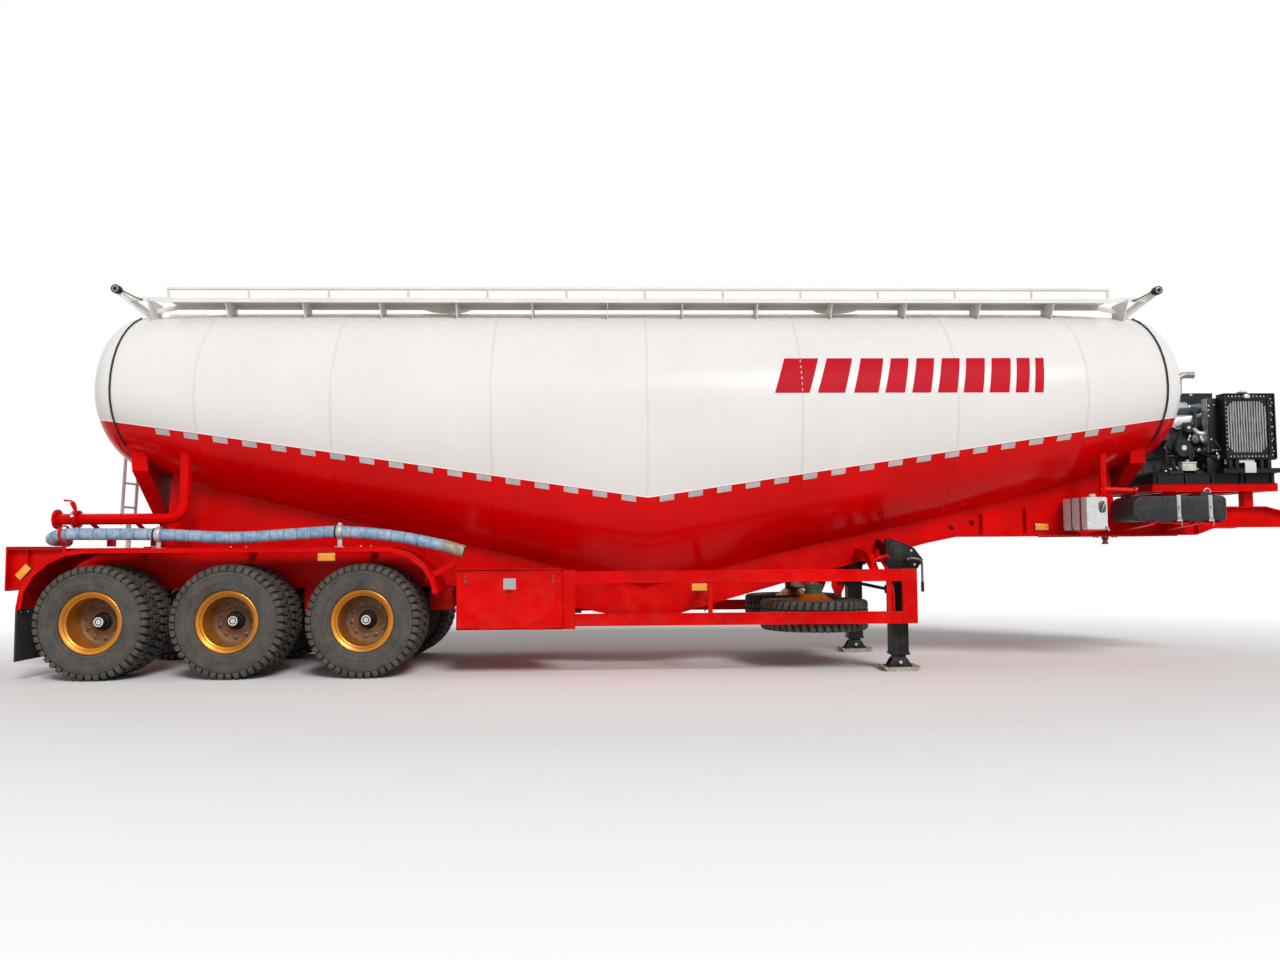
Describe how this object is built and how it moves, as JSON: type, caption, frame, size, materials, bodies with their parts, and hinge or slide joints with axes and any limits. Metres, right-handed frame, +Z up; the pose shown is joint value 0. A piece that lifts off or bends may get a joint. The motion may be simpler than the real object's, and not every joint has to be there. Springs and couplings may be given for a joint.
{
  "type": "bulk powder tank semi-trailer",
  "caption": "Semi-trailer with a V-bottomed powder tank, sprung twin-wheel axles, landing legs, roof catwalks and a blower set on its gooseneck",
  "frame": {"origin": "ground level, in the middle of the overall length and width", "axes": "+X forward to the coupling end, +Y to the left side, +Z up"},
  "size_m": [13.6, 2.5, 4.01],
  "materials": {
    "tank_paint": "gloss",
    "red_paint": "gloss, dusty",
    "white_paint": "satin",
    "rim_gold": "satin",
    "tyre_rubber": "matt",
    "black_paint": "satin",
    "cast_iron": "rough",
    "black_plastic": "matt",
    "grey_plastic": "matt",
    "hose_blue": "satin"
  },
  "bodies": {
    "trailer": {"axle_front": "black_paint", "axle_middle": "black_paint", "axle_rear": "black_paint", "catwalk_left": "white_paint", "catwalk_right": "white_paint", "compressor": "cast_iron", "conduit_front": "black_plastic", "conduit_rear": "black_plastic", "engine": "cast_iron", "engine_base": "black_paint", "front_pipe": "red_paint", "fuel_tank": "black_plastic", "gooseneck": "red_paint", "hopper_outlet": "red_paint", "hose": "hose_blue", "keel_frame": "red_paint", "ladder": "white_paint", "landing_leg_left": "black_paint", "landing_leg_right": "black_paint", "mudguard_left": "red_paint", "mudguard_right": "red_paint", "radiator": "black_paint", "rear_frame": "red_paint", "rear_pipe": "red_paint", "saddle_front": "red_paint", "saddle_rear": "red_paint", "side_guard_left": "red_paint", "side_guard_right": "red_paint", "spare_carrier": "rim_gold", "spare_tyre_left": "tyre_rubber", "spare_tyre_right": "tyre_rubber", "tank_barrel": "tank_paint", "tank_head_front": "tank_paint", "tank_head_rear": "tank_paint", "toolbox_left": "red_paint", "toolbox_right": "red_paint", "water_box": "grey_plastic"},
    "wheels_front_left": {"wheel_front_left": "rim_gold", "tyre_front_left_inner": "tyre_rubber", "tyre_front_left_outer": "tyre_rubber"},
    "wheels_front_right": {"wheel_front_right": "rim_gold", "tyre_front_right_inner": "tyre_rubber", "tyre_front_right_outer": "tyre_rubber"},
    "wheels_middle_left": {"wheel_middle_left": "rim_gold", "tyre_middle_left_inner": "tyre_rubber", "tyre_middle_left_outer": "tyre_rubber"},
    "wheels_middle_right": {"wheel_middle_right": "rim_gold", "tyre_middle_right_inner": "tyre_rubber", "tyre_middle_right_outer": "tyre_rubber"},
    "wheels_rear_left": {"wheel_rear_left": "rim_gold", "tyre_rear_left_inner": "tyre_rubber", "tyre_rear_left_outer": "tyre_rubber"},
    "wheels_rear_right": {"wheel_rear_right": "rim_gold", "tyre_rear_right_inner": "tyre_rubber", "tyre_rear_right_outer": "tyre_rubber"},
    "lid_front": {"manhole_lid_front": "tank_paint"},
    "lid_rear": {"manhole_lid_rear": "tank_paint"},
    "door_left": {"toolbox_door_left": "red_paint"},
    "door_right": {"toolbox_door_right": "red_paint"}
  },
  "joints": [
    {"name": "spin_front_left", "type": "hinge", "parent": "trailer", "child": "wheels_front_left", "pos_m": [-2.963, 0.9175, 0.56], "axis": [0, 1, 0], "continuous": true},
    {"name": "spin_front_right", "type": "hinge", "parent": "trailer", "child": "wheels_front_right", "pos_m": [-2.963, -0.9175, 0.56], "axis": [0, 1, 0], "continuous": true},
    {"name": "spin_middle_left", "type": "hinge", "parent": "trailer", "child": "wheels_middle_left", "pos_m": [-4.273, 0.9175, 0.56], "axis": [0, 1, 0], "continuous": true},
    {"name": "spin_middle_right", "type": "hinge", "parent": "trailer", "child": "wheels_middle_right", "pos_m": [-4.273, -0.9175, 0.56], "axis": [0, 1, 0], "continuous": true},
    {"name": "spin_rear_left", "type": "hinge", "parent": "trailer", "child": "wheels_rear_left", "pos_m": [-5.583, 0.9175, 0.56], "axis": [0, 1, 0], "continuous": true},
    {"name": "spin_rear_right", "type": "hinge", "parent": "trailer", "child": "wheels_rear_right", "pos_m": [-5.583, -0.9175, 0.56], "axis": [0, 1, 0], "continuous": true},
    {"name": "lid_front_hinge", "type": "hinge", "parent": "trailer", "child": "lid_front", "pos_m": [1.72, 0, 3.961], "axis": [0, -1, 0], "range_deg": [0, 110]},
    {"name": "lid_rear_hinge", "type": "hinge", "parent": "trailer", "child": "lid_rear", "pos_m": [-2.68, 0, 3.961], "axis": [0, -1, 0], "range_deg": [0, 110]},
    {"name": "toolbox_door_left_hinge", "type": "hinge", "parent": "trailer", "child": "door_left", "pos_m": [-1.525, 1.2343, 0.469], "axis": [-1, 0, 0], "range_deg": [0, 90]},
    {"name": "toolbox_door_right_hinge", "type": "hinge", "parent": "trailer", "child": "door_right", "pos_m": [-1.525, -1.2343, 0.469], "axis": [1, 0, 0], "range_deg": [0, 90]}
  ]
}
